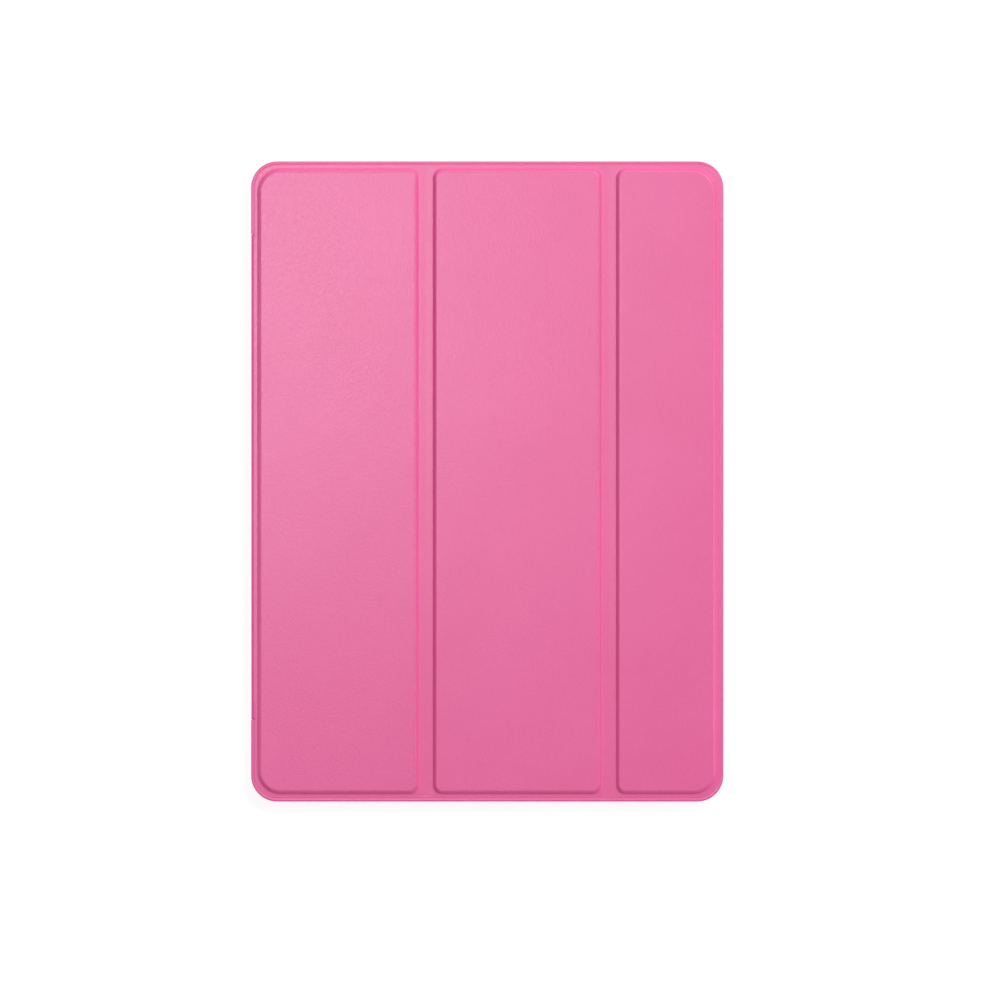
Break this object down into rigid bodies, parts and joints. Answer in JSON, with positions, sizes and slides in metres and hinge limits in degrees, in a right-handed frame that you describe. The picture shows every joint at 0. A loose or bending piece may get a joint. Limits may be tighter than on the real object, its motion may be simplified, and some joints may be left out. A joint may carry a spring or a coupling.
{
  "type": "tablet case",
  "caption": "Closed folding tablet case with a hard tray, a leather spine and a front cover of raised panels joined by vertical folds.",
  "frame": {"origin": "centre of the closed case's base, as it lies on its back", "axes": "+Z out of the front cover, +Y towards the tablet's top edge, +X towards the cover's free edge, so the spine is at -X"},
  "size_m": [0.1856, 0.2516, 0.0119],
  "materials": {
    "leather": "satin pink synthetic leather with a fine grain",
    "tray_plastic": "matt moulded pink plastic",
    "microfibre": "soft pale pink microfibre",
    "board": "plain grey stiffener board",
    "magnet": "satin nickel plating"
  },
  "bodies": {
    "tray": {"tray": "tray_plastic", "tongue_skin": "leather", "back_fold_skin": "leather"},
    "spine": {"spine_skin": "leather", "spine_board": "board", "spine_lining": "microfibre", "front_fold_skin": "leather", "front_fold_lining": "microfibre"},
    "panel_1": {"panel_1_skin": "leather", "panel_1_lining": "microfibre", "panel_1_board": "board", "stand_magnet_top": "magnet", "stand_magnet_bottom": "magnet", "fold_1_skin": "leather", "fold_1_lining": "microfibre"},
    "panel_2": {"panel_2_skin": "leather", "panel_2_lining": "microfibre", "panel_2_board": "board", "fold_2_skin": "leather", "fold_2_lining": "microfibre"},
    "panel_3": {"panel_3_skin": "leather", "panel_3_lining": "microfibre", "panel_3_board": "board", "closing_magnet_top": "magnet", "closing_magnet_bottom": "magnet", "sleep_magnet": "magnet"}
  },
  "joints": [
    {"name": "spine_to_tray", "type": "hinge", "parent": "tray", "child": "spine", "pos_m": [-0.09214, 0, 0.00076], "axis": [0, -1, 0], "range_deg": [0, 90], "deforming": ["back_fold_skin"]},
    {"name": "cover_to_spine", "type": "hinge", "parent": "spine", "child": "panel_1", "pos_m": [-0.09214, 0, 0.00974], "axis": [0, -1, 0], "range_deg": [0, 90], "deforming": ["front_fold_skin", "front_fold_lining"]},
    {"name": "fold_1", "type": "hinge", "parent": "panel_1", "child": "panel_2", "pos_m": [-0.02415, 0, 0.01205], "axis": [0, -1, 0], "range_deg": [0, 160], "deforming": ["fold_1_skin", "fold_1_lining"]},
    {"name": "fold_2", "type": "hinge", "parent": "panel_2", "child": "panel_3", "pos_m": [0.04775, 0, 0.01205], "axis": [0, -1, 0], "range_deg": [0, 175], "deforming": ["fold_2_skin", "fold_2_lining"]}
  ]
}
